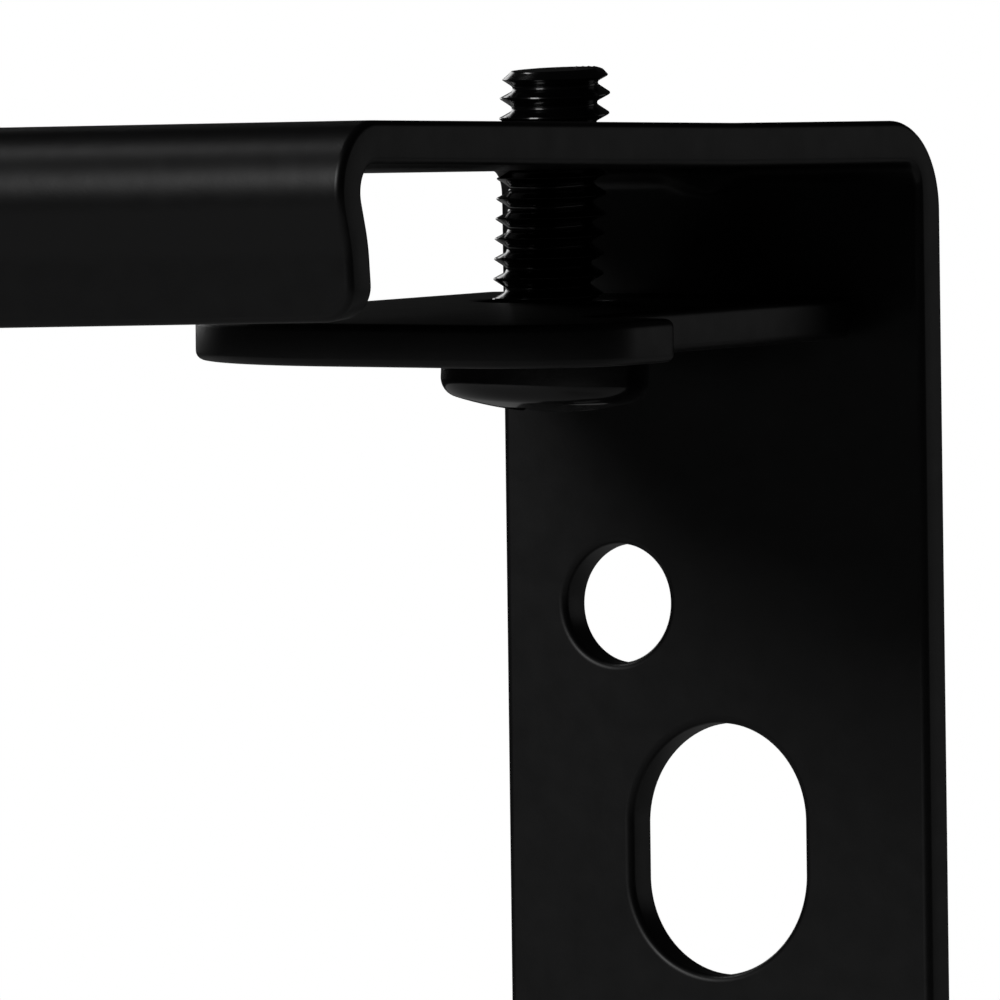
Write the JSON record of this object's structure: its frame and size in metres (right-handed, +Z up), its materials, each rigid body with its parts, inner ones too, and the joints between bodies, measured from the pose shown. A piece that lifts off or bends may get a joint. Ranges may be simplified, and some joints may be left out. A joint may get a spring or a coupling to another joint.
{
  "type": "speaker wall bracket",
  "caption": "Folded steel strip with a wall plate, an arm and a front lip, and a clamp plate drawn up under the arm by a pan head screw.",
  "frame": {"origin": "centre of the slot, in the plane of the face that lies against the wall", "axes": "+X along the width of the strip, to the right seen from the room; -Y away from the wall; +Z up"},
  "size_m": [0.0198, 0.0426, 0.0444],
  "materials": {
    "powder_coat": "satin black powder coat",
    "black_screw": "glossy black plating"
  },
  "bodies": {
    "bracket": {"bracket": "powder_coat"},
    "clamp_plate": {"clamp_plate": "powder_coat"},
    "clamp_screw": {"clamp_screw": "black_screw"}
  },
  "joints": [
    {"name": "clamp_travel", "type": "slide", "parent": "bracket", "child": "clamp_plate", "axis": [0.0732, -0.0279, 0.9969], "range_m": [-0.0018, 0.0039]},
    {"name": "screw_turn", "type": "hinge", "parent": "clamp_plate", "child": "clamp_screw", "pos_m": [-0.00261, -0.00851, 0.01757], "axis": [0.0732, -0.0279, 0.9969], "range_deg": [-925.72, 2005.72]}
  ],
  "couplings": [
    {"joint": "screw_turn", "follows": "clamp_travel", "rad_per_m": 8976}
  ]
}
